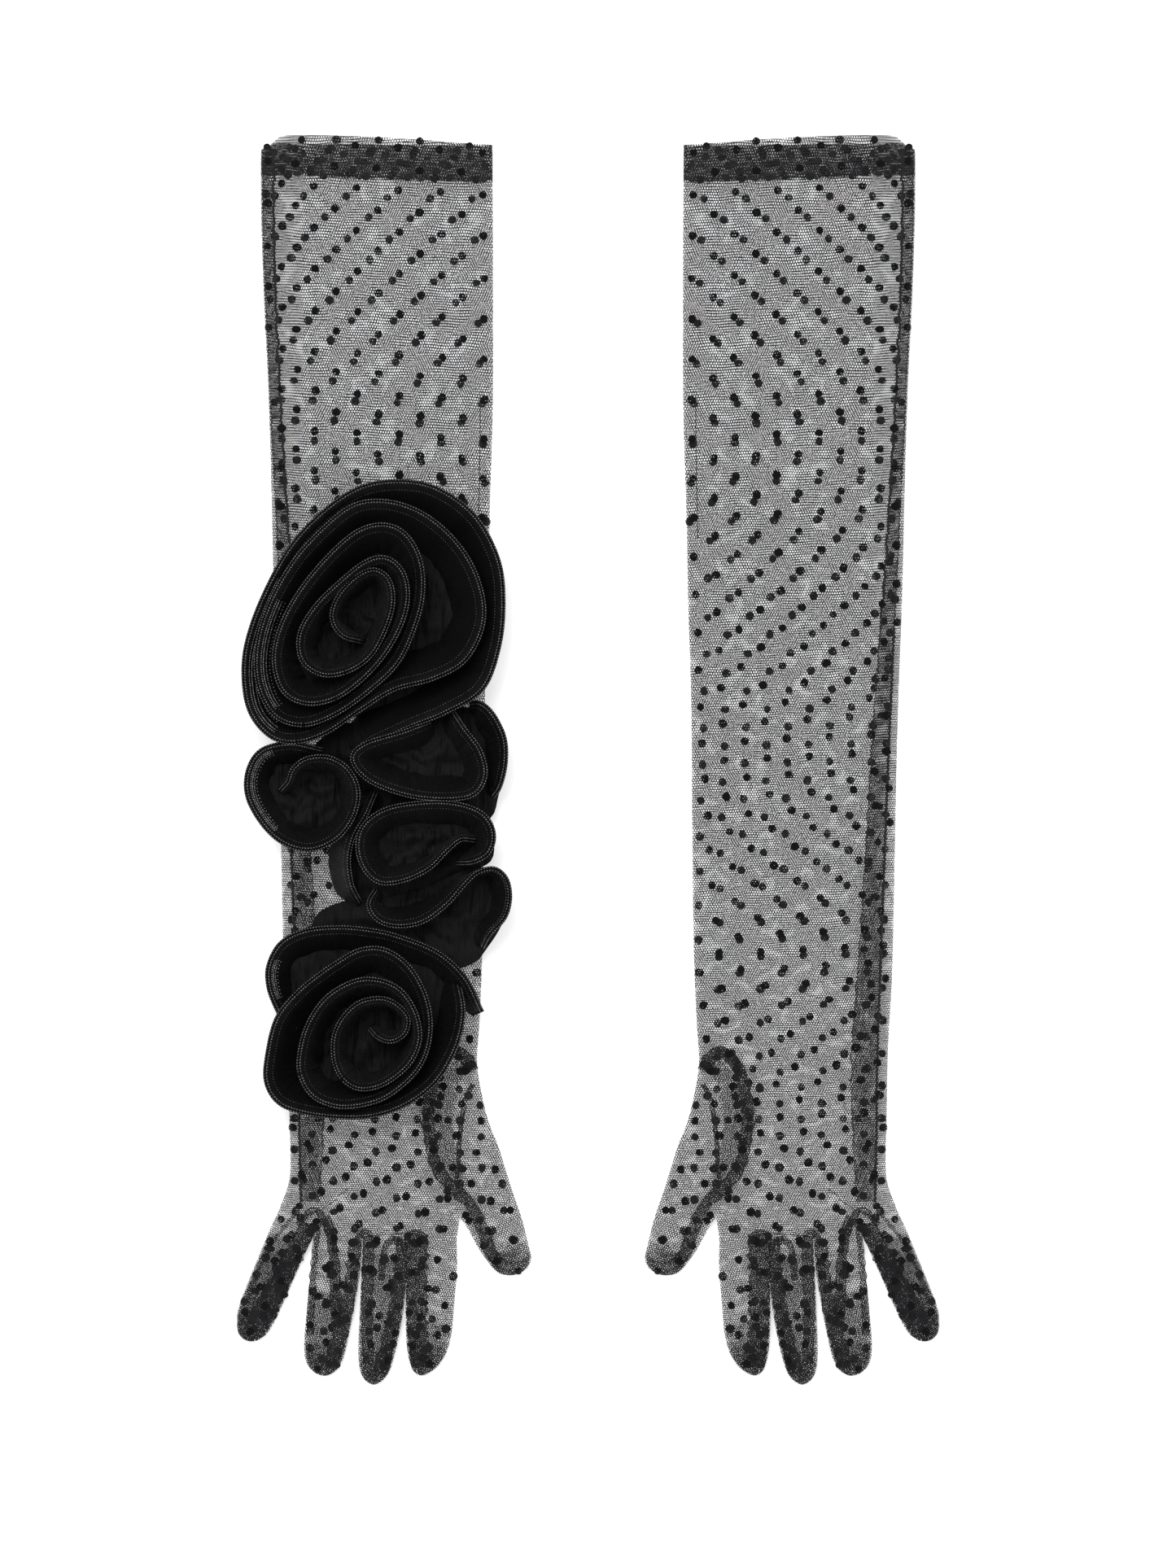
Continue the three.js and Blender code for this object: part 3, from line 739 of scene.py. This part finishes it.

# Bands of net inside the hand and the fingers: the stall or fold that they belong to (None rides the hand),
# their line, widths at both ends, layers, depth below the upper layer, edge thread's radius (0 for none) and
# the part of the CAD model that they stand for, if any.
BANDS = {
    "index_fourchette": (
        "index_finger", [(80.6, -224), (81, -240), (81, -256), (80.5, -272), (79, -287)],
        (9.6, 8.4), 3, 1.8, 0.16, "fourchette_index_middle"),
    "middle_thumb_side_fourchette": (
        "middle_finger", [(87.8, -229.5), (89, -245), (91.2, -261), (94.6, -276), (98.6, -290)],
        (5.2, 7.0), 3, 1.8, 0.16),
    "middle_fourchette": (
        "middle_finger", [(103.4, -225), (104, -242), (104.6, -262), (104, -282)],
        (5.6, 5.0), 2, 1.8, 0.16, "fourchette_middle_ring"),
    "ring_thumb_side_fourchette": (
        "ring_finger", [(109.8, -227), (111.2, -240), (113.6, -256), (117.2, -272), (122, -286)],
        (5.2, 7.0), 3, 1.8, 0.16),
    "ring_fourchette": (
        "ring_finger", [(124.6, -216), (121.6, -224), (119.8, -238), (119.4, -254), (118.2, -268)],
        (4.4, 5.0), 3, 1.8, 0.16),
    "ring_little_side_fourchette": (
        "ring_finger", [(127.6, -219), (129.4, -236), (130.8, -256), (131.4, -272)],
        (2.6, 3.0), 2, 1.8, 0.16),
    "little_fourchette": (
        "little_finger", [(131.6, -219.6), (136.6, -229), (142, -240), (149.2, -253.6), (156.2, -266.4)],
        (8.4, 10.0), 4, 1.8, 0.16, "fourchette_ring_little"),
    "little_side_seam": (
        "little_finger", [(139, -215.5), (147.6, -226), (156.4, -243), (162.6, -258)],
        (1.8, 1.8), 2, 1.8, 0),
    "index_arch": (
        None, [(76.8, -229), (78, -225.4), (82, -223), (85, -225), (85.8, -229)],
        (3.2, 3.2), 3, 1.5, 0),
    "middle_arch": (
        "middle_finger", [(86.6, -232), (88, -227.6), (92, -226.4), (95.6, -230), (97.2, -238), (97.6, -246)],
        (3.2, 3.2), 3, 1.5, 0),
    "ring_arch": (
        None, [(100.6, -229.6), (102, -225.6), (105.4, -223), (109, -226), (110, -229.6)],
        (3.2, 3.2), 3, 1.5, 0),
    "little_arch": (
        None, [(121.6, -225), (124, -218.6), (128.6, -212.6), (134, -216), (137, -219.8)],
        (3.2, 3.2), 3, 1.5, 0),
    "thumb_teardrop_seam": (
        "wrist", [(54.4, -147), (58, -140.4), (63.4, -138.4), (70.2, -144.6), (74, -156), (75.6, -168),
                  (74.8, -178), (72, -191), (67.4, -198.4), (62, -204), (56.4, -208.6)],
        (5.6, 5.6), 4, 1.0, 0.15),
    "thumb_gusset_net": (
        "wrist", [(58.6, -143), (64, -149), (67.4, -160), (68.4, -171), (67.4, -182), (64, -193), (59, -203)],
        (9.0, 8.0), 1, 3.4, 0, "thumb_gusset"),
    "thumb_seam": (
        "thumb", [(56.6, -208.4), (52.6, -215), (49.2, -223.4), (46.6, -231), (42, -238)],
        (5.0, 6.0), 3, 1.8, 0.16),
    "thumb_gusset_seam": (
        "wrist", [(54.6, -153), (57.4, -159), (59.4, -168), (60.6, -179), (61.2, -191), (62.6, -200)],
        (1.8, 1.8), 3, 0.9, 0.18),
}


def bend(piece, at):
    """Works out the bodies and the span of the fold at the elbow or the wrist, or at a stall's mouth, but
    uses none of it: it only bakes the piece's placement into its mesh.
    """
    if at == "elbow":
        bodies, start, end = ("forearm", "upper_arm"), ELBOW - ELBOW_REACH, ELBOW + ELBOW_REACH
    elif at == "wrist":
        bodies, start, end = ("forearm", "hand"), WRIST + WRIST_REACH, WRIST - WRIST_REACH
    if at in STALLS:
        centre, lean = stall_turn(at)
        bodies, start, end = ("hand", at), centre + 1.5 * way_down(lean), centre + 10 * way_down(lean)
    else:
        start, end = (MIDDLE_X, start), (MIDDLE_X, end)
    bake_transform(piece)


def finish(piece, glove, parts=(), at=None, on="hand"):
    """Sets a piece of net in place: where a joint or stall is given it only bakes the piece's placement into
    its mesh, otherwise it fixes it to one body. It hides the parts of the CAD model that the piece stands
    for."""
    if at:
        bend(piece, at)
    else:
        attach(piece, f"{glove}_{on}")
    if parts:
        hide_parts(*[f"{glove}_{part}" for part in parts])


def walls(part):
    return [f"{part}_{wall}" for wall in ("back_layer", "palm_layer", "thumb_side_fold")]


def make_glove(glove):
    finish(arm_net(glove), glove, walls("upper_arm"), "elbow")
    finish(hand_net(glove), glove, walls("forearm") + walls("hand"), "wrist")
    for stall, depth in TIP_GATHERS.items():
        finish(stall_net(glove, stall), glove, [stall], stall)
        gather = stall_filling(glove, stall, "tip_gather", (0.7 * depth, depth, 1.35 * depth), 1.2)
        finish(gather, glove, on=stall)
    for stall, depths in LININGS.items():
        lining = stall_filling(glove, stall, "lining", depths, 3.6)
        finish(lining, glove, at=stall)
    finish(hem(glove), glove, ["hem"], on="upper_arm")
    finish(side_seam(glove, "above_elbow", 287.5, SPLIT), glove, ["upper_arm_side_seam"], "elbow")
    below = side_seam(glove, "below_elbow", SPLIT, -209)
    finish(below, glove, ["forearm_side_seam", "hand_side_seam"], "wrist")
    for name, (at, line, widths, layers, drop, thread, *parts) in BANDS.items():
        finish(band(glove, name, line, widths, layers, drop, thread), glove, parts, at)


for glove_name in SIDES:
    make_glove(glove_name)

# ---- Ribbon roses, where they lie on the rosette glove ----

ELBOW_ROSE = [
    (-111, 3), (-98.5, 10), (-83, 17), (-67, 23.5), (-50.5, 34), (-43, 53.5), (-41, 74.5), (-43.5, 94),
    (-54, 113.5), (-70, 125.5), (-86.5, 129.5), (-105.5, 127), (-123.5, 115.5), (-139.5, 98), (-152.5, 73.5),
    (-159.5, 52), (-160, 34), (-156.5, 21), (-147.5, 11.5), (-136.5, 9.5), (-123, 14), (-108, 24),
    (-91.5, 34), (-73.5, 39), (-59, 47), (-51, 61.5), (-50.5, 76), (-56.5, 92.5), (-67, 106), (-80, 115.5),
    (-94.5, 120), (-109, 118.5), (-122.5, 108.5), (-137, 92.5), (-148, 73), (-154, 53.5), (-153.5, 35.5),
    (-146, 21.5), (-133, 17.5), (-118, 23), (-102.5, 34), (-89.5, 47), (-81.5, 65), (-78.5, 79.5),
    (-80, 94), (-86.5, 105), (-96, 109), (-107.5, 106), (-120, 95.5), (-133, 80), (-142.5, 63), (-146, 47),
    (-142, 33), (-131.5, 27.5), (-118.5, 30), (-106, 39), (-95.5, 51), (-88, 65), (-85.5, 77.5), (-88, 88),
    (-95, 93.5), (-104, 91.5), (-115.5, 82.5), (-127, 71), (-134, 58.5), (-133, 47), (-124.5, 41),
    (-114, 42), (-103.5, 48.5), (-96.5, 60), (-92.5, 73), (-94, 83.5), (-100.5, 88), (-109, 84),
    (-116.5, 75.5), (-119, 66.5), (-114.5, 59), (-105.5, 56.5),
]
WRIST_PETAL = [
    (-136, -127), (-142, -122), (-146, -115), (-149, -106.5), (-149, -97), (-143.5, -87), (-132.5, -81.5),
    (-118, -80), (-104, -81), (-90, -84), (-71.5, -91.5), (-58.5, -103.5), (-51, -119.5),
]
WRIST_ROSE = [
    (-62.5, -104), (-60, -114.5), (-60.5, -125), (-64.5, -137.5), (-73, -151), (-86.5, -161), (-101.5, -166),
    (-117, -166.5), (-133, -164.5), (-144.5, -160), (-150, -150.5), (-149, -137), (-145, -122),
    (-136.5, -111), (-126.5, -102.5), (-117, -96), (-107, -90.5), (-96.5, -90), (-86.5, -96), (-79.5, -106),
    (-75.5, -118), (-75.5, -131), (-79.5, -142.5), (-88, -152), (-99.5, -159), (-115.5, -161.5),
    (-128, -157), (-134, -146.5), (-133.5, -135), (-130, -124), (-123.5, -114), (-115, -107.5),
    (-105, -104), (-94.5, -105.5), (-87, -110.5), (-81.5, -120), (-80, -131), (-84, -141), (-92, -148.5),
    (-100, -152.5), (-108, -153), (-114.5, -148.5), (-118, -140.5), (-118, -130), (-114, -121.5),
    (-107, -115), (-97.5, -113), (-90.5, -115.5), (-85.5, -121), (-86.5, -127.5), (-92, -131),
    (-98, -129.5), (-102.5, -125.5),
]
UPPER_FRILL = [
    (-64.5, 22), (-59, 14), (-51.5, 3.5), (-49.5, -8), (-57, -16.5), (-80, -16.5), (-101, -9.5),
    (-109.5, 0), (-104, 6.5), (-86.5, 12), (-73.5, 17),
]
SIDE_FRILL = [(-56, 25.5), (-51, 25.5), (-45.5, 20.5), (-40.5, 10), (-40, -1.5), (-42.5, -12), (-46, -17)]
SMALL_ROSE = [
    (-125, 3.5), (-139.5, 6.5), (-152.5, 3.5), (-158.5, -5.5), (-158.5, -17.5), (-151, -30.5),
    (-141.5, -38.5), (-130, -41), (-118.5, -36), (-111, -26), (-109, -14.5), (-113.5, -5), (-122, 0),
    (-131.5, -0.5), (-137.5, -5), (-140, -11), (-144.5, -15.5),
]
MIDDLE_ROSE = [
    (-52.5, -37), (-60, -36.5), (-67, -42), (-75, -50), (-86.5, -55.5), (-97.5, -56.5), (-104.5, -50),
    (-107, -40.5), (-104.5, -31.5), (-95, -24.5), (-80, -21.5), (-63.5, -21.5), (-50.5, -26),
    (-45.5, -34.5), (-47.5, -43), (-54.5, -47), (-62, -47.5),
]
LINKING_RUFFLE = [(-101, -14.5), (-105, -25), (-111, -35.5), (-113.5, -47), (-112, -59), (-108, -68)]
LOWER_FRILL = [
    (-99, -61.5), (-102, -68), (-98, -74.5), (-89.5, -77), (-78, -75), (-67, -67), (-59, -58),
    (-52.5, -52), (-44, -50), (-37.5, -55), (-35.5, -64.5), (-38, -74.5), (-45, -82.5), (-49, -89.5),
]

# Each ribbon: its route, the first and last point that it uses, its height at its start and end, how far its
# foot is to the left of its upper edge at fractions of its length (to the right for a minus sign), and which
# ends are free to droop. The others run on into the next turn of their rose.
RIBBONS = {
    "elbow_rose_outer_ruffle": (ELBOW_ROSE, 0, 19, (20, 24), [(0, 13), (0.15, 17), (1, 17)], "start"),
    "elbow_rose_second_ruffle": (ELBOW_ROSE, 19, 38, (24, 27), [(0, 17), (1, 14)], ""),
    "elbow_rose_third_ruffle": (ELBOW_ROSE, 38, 54, (27, 30), [(0, 14), (1, 10.5)], ""),
    "elbow_rose_inner_ruffle": (ELBOW_ROSE, 54, 67, (30, 31), [(0, 10.5), (1, 7)], ""),
    "elbow_rose_bud": (ELBOW_ROSE, 67, 77, (31, 27), [(0, 7), (1, 3)], "end"),
    "upper_frill": (UPPER_FRILL, 0, 10, (24, 24), [(0, -9), (0.5, -11), (1, -8)], "start end"),
    "side_frill": (SIDE_FRILL, 0, 6, (18, 18), [(0, -8), (0.6, -9), (1, -6)], "start end"),
    "small_rose": (SMALL_ROSE, 0, 16, (22, 25), [(0, 7), (0.2, 10), (0.6, 9), (0.85, 5), (1, 2)],
        "start end"),
    "middle_rose": (MIDDLE_ROSE, 0, 16, (23, 25), [(0, -2), (0.15, -4), (0.3, -9), (0.8, -10), (1, -4)],
        "start end"),
    "linking_ruffle": (LINKING_RUFFLE, 0, 5, (20, 20), [(0, -7), (0.5, -9), (1, -6)], "start end"),
    "lower_frill": (LOWER_FRILL, 0, 13, (20, 22),
        [(0, 5), (0.3, 9), (0.48, 4), (0.6, -5), (0.8, -9), (1, -6)], "start end"),
    "wrist_rose_petal": (WRIST_PETAL, 0, 12, (17, 17), [(0, -7), (0.4, -11), (1, -8)], "start end"),
    "wrist_rose_outer_ruffle": (WRIST_ROSE, 0, 13, (20, 24), [(0, -11), (0.5, -14), (1, -13)], "start"),
    "wrist_rose_second_ruffle": (WRIST_ROSE, 13, 27, (24, 28), [(0, -13), (1, -9)], ""),
    "wrist_rose_inner_ruffle": (WRIST_ROSE, 27, 41, (28, 29), [(0, -9), (1, -5.5)], ""),
    "wrist_rose_bud": (WRIST_ROSE, 41, 52, (29, 25), [(0, -5.5), (1, -3)], "end"),
}
ROSE_BODY = "rosette_forearm"
# On the left of these ones, light grey specks on the sheer ribbon's face are painted sheen: the grainy
# reflection of its glossy reverse side.
SHEEN_PAINTED_RIBBONS = ("elbow_rose_outer_ruffle", "elbow_rose_second_ruffle", "small_rose", "wrist_rose_petal")
PAINTED_SHEEN_LEFT_OF = -147.0


def ribbon_surface(line, heights, lean, free, outward=0.0, lower=0.0):
    """Rows down the ribbon from its upper edge to its foot, as points, for every point of the line."""
    run = length_along(line)
    share = run / run[-1]
    foot = np.interp(share, [a for a, _ in lean], [b for _, b in lean])
    across = normals(line)
    side = np.sign(foot.mean())
    down = np.array([0, 0.02, 0.05, 0.1, 0.18, 0.28, 0.4, 0.52, 0.64, 0.76, 0.88, 1.0])
    waves = 0.55 * (1.6 * ripple(line, 5.3) + 0.8 * ripple(line + 30, 2.6))
    lift = 0.8 * ripple(line + 9, 7.0) + 0.3 * ripple(line, 3.1)
    droop = 0
    for end, distance in (("start", run), ("end", run[-1] - run)):
        if end in free:
            droop = droop + np.clip(1 - distance / DROOP_LENGTH, 0, 1) ** 2
    foot = foot * (1 - 0.5 * droop)
    height = np.interp(share, [0, 1], heights)
    top = RIBBON_BASE + height + 0.4 + lift - lower - 0.72 * height * droop
    rows = []
    for d in down:
        rolled = 0.5 * math.exp(-((d / 0.05) ** 2))
        shift = foot * d**0.9 + waves * d**1.3 - side * (outward + rolled)
        z = top + (RIBBON_BASE - top) * d
        rows.append(np.column_stack([line + across * shift[:, None], z]))
    return np.stack(rows, axis=1), across, run, side


def add_ribbon(cloth, line, heights, lean, free, outward=0.0, lower=0.0):
    """A folded ribbon: two faces, a rolled upper edge and closed ends. Returns where its edges run."""
    surface, across, run, side = ribbon_surface(line, heights, lean, free, outward, lower)
    push = np.column_stack([across, 0 * run])[:, None] * RIBBON_THICK / 2
    near = surface + push
    far = surface - push
    lip = surface[:, :1] + [0, 0, RIBBON_THICK / 2]
    ring = np.concatenate([near[:, ::-1], lip, far], axis=1)
    girth = length_along(ring[len(ring) // 2])
    uv = np.stack(np.broadcast_arrays(run[:, None], girth[None]), axis=2)
    cloth.grid(ring, uv, closed=True)
    for row, order in ((0, 1), (-1, -1)):
        cloth.add(ring[row], [range(ring.shape[1])[::order]], uv[row])
    inner, outer = (near, far) if side > 0 else (far, near)
    return lip[:, 0], inner, outer


def add_stitches(cloth, line, pitch, size, slant, slot=0):
    """A row of short slanting stitches along a line."""
    length = length_along(line)[-1]
    at = np.arange(0.6, length - 0.6, pitch) / length
    centres = at_fractions(line, at)
    ahead = unit(at_fractions(line, np.minimum(at + 0.3 / length, 1)) - centres)
    across = unit(np.cross(ahead, (0, 0, 1)))
    for k, (centre, a, b) in enumerate(zip(centres, ahead, across)):
        way = a + b * slant * (-1) ** k
        way /= np.linalg.norm(way)
        wide = np.cross(way, (0, 0, 1)) * size * 0.45
        high = np.array([0, 0, size * 0.55])
        points = [centre - way * size, centre + way * size, centre + wide, centre - wide, centre + high,
                  centre - high]
        faces = [(0, 2, 4), (2, 1, 4), (1, 3, 4), (3, 0, 4), (2, 0, 5), (1, 2, 5), (3, 1, 5), (0, 3, 5)]
        cloth.add(points, faces, [(k, 0)] * 6, slot)


def add_to_rose(piece):
    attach(piece, ROSE_BODY)
    return piece


def make_ribbon(name):
    route, first, last, heights, lean, free = RIBBONS[name]
    fine = smooth(route, 1.7)
    start, end = [np.linalg.norm(fine - np.array(route[k]), axis=1).argmin() for k in (first, last)]
    line = fine[start: end + 1]
    cloth, stitches = Cloth(), Cloth()
    for ply, (outward, lower) in enumerate([(0.0, 0.0), (1.35, 1.3)]):
        edge, inner, outer = add_ribbon(cloth, line, heights, lean, free, outward, lower)
        # Stitching along each lip and a row on the face; their light grey is partly painted highlight.
        add_stitches(stitches, edge, 1.35, 0.5, 0.9)
        face = inner if ply == 0 else outer
        add_stitches(stitches, face[:, 2:5].mean(axis=1), 1.35, 0.38, 0.4)
        # Light grey stitch-shaped specks on the left of the inner face: painted sheen, not stitching.
        painted_sheen_side = edge[:, 0] < PAINTED_SHEEN_LEFT_OF
        if ply == 0 and name in SHEEN_PAINTED_RIBBONS and painted_sheen_side.sum() > 8:
            for row, pitch in ((2, 1.1), (3, 0.8), (4, 1.0), (5, 1.7)):
                add_stitches(stitches, inner[painted_sheen_side, row], pitch, 0.5, 0.7, 1)
    piece = add_to_rose(cloth.make(f"{name}_ribbon", [CREPE], merge=0.001))
    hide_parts(name)
    add_to_rose(stitches.make(f"{name}_stitching", [STITCH_THREAD_WITH_HIGHLIGHT, PAINTED_SHEEN_SPECKS]))


for ribbon_name in RIBBONS:
    make_ribbon(ribbon_name)

# The ribbon's gathered underside fills the floor of each rose and frill.
BEDS = {
    "elbow_rose_floor": (ELBOW_ROSE[3:20], 6.0, 8.4),
    "upper_frill_floor": ([(-131, 5), (-120, 15), (-104, 19), (-60, 25), (-43, 18), (-39, 2), (-42, -16),
        (-49, -29), (-80, -26), (-104, -24), (-110, -12)], 0.0, 8.0),
    "small_rose_floor": (SMALL_ROSE[:12], 4.0, 8.1),
    "middle_rose_floor": (MIDDLE_ROSE[3:15], 4.0, 8.3),
    "lower_frill_floor": ([(-133, -89), (-128, -73), (-113, -66), (-98, -63), (-80, -60), (-60, -50),
        (-45, -53), (-38, -62), (-40, -76), (-47, -88), (-56, -97), (-80, -102),
        (-110, -98)], 0.0, 7.9),
    "frill_link_floor": ([(-110, -16), (-115, -36), (-117, -50), (-114, -65), (-104, -72), (-95, -66),
        (-78, -62), (-60, -54), (-46, -48), (-45, -36), (-52, -26), (-80, -23)], 0.0, 7.8),
    "wrist_rose_floor": (WRIST_ROSE[:12] + WRIST_PETAL[2:11], 4.5, 8.2),
}


def make_bed(number, name):
    outline, inset, base = BEDS[name]
    rim = smooth(list(outline) + [outline[0]], 3.0)[:-1]
    centre = rim.mean(axis=0)
    reach = np.linalg.norm(rim - centre, axis=1)[:, None]
    rim = centre + (rim - centre) * np.maximum(1 - inset / reach, 0.3)
    rings = np.linspace(1, 0.003, 14)
    flat = centre + (rim[None] - centre) * rings[:, None, None]
    points = flat.reshape(-1, 2)
    rise = np.repeat(np.sqrt(1 - rings**2), len(rim))
    bumps = 1.6 * (1 + ripple(points + 40 * number, 4.2)) + 0.8 * (1 + ripple(points * 1.7, 2.7))
    z = base + rise * bumps
    cloth = Cloth()
    cloth.grid(np.column_stack([points, z]).reshape(*flat.shape[:2], 3), flat, closed=True)
    piece = add_to_rose(cloth.make(name, [CREPE]))


for bed_number, bed_name in enumerate(BEDS):
    make_bed(bed_number, bed_name)

# ---- Floor, light and camera ----

VIEW_HEIGHT = 0.742  # metres of floor that the frame takes in from top to bottom
VIEW_CENTRE_Y = -0.0114
LENS = 180.0

floor_mesh = bpy.data.meshes.new("floor")
HALF_FLOOR = 6.0
corners = [(x * HALF_FLOOR, y * HALF_FLOOR, 0) for x, y in ((-1, -1), (1, -1), (1, 1), (-1, 1))]
floor_mesh.from_pydata(corners, [], [(0, 1, 2, 3)])
paper = Surface("floor_paper", (0.88, 0.88, 0.88), 0.9, specular=0.1)
paper.set("Emission Color", (1, 1, 1, 1))
paper.set("Emission Strength", 0.36)
floor_mesh.materials.append(paper.material)
new_object("floor", floor_mesh)

world = bpy.data.worlds.new("studio")
scene.world = world
world.use_nodes = True
sky = world.node_tree.nodes["Background"]
sky.inputs["Color"].default_value = (1, 1, 1, 1)
sky.inputs["Strength"].default_value = 0.72


def softbox(name, place, size, power):
    lamp = bpy.data.lights.new(name, "AREA")
    lamp.shape = "SQUARE"
    lamp.size = size
    lamp.energy = power
    holder = new_object(name, lamp)
    holder.location = place
    holder.rotation_euler = (-holder.location).to_track_quat("-Z", "Y").to_euler()


softbox("key_softbox", (-0.55, 0.8, 2.4), 1.3, 36)
softbox("fill_softbox", (1.5, -0.6, 1.7), 1.3, 12)

camera_data = bpy.data.cameras.new("camera")
camera_data.lens = LENS
camera_data.sensor_width = 36
camera = new_object("camera", camera_data)
camera.location = (0, VIEW_CENTRE_Y, VIEW_HEIGHT * LENS / 36)
camera_data.clip_end = 50
bpy.context.scene.camera = camera
scene.view_settings.view_transform = "Standard"
scene.cycles.transparent_max_bounces = 32
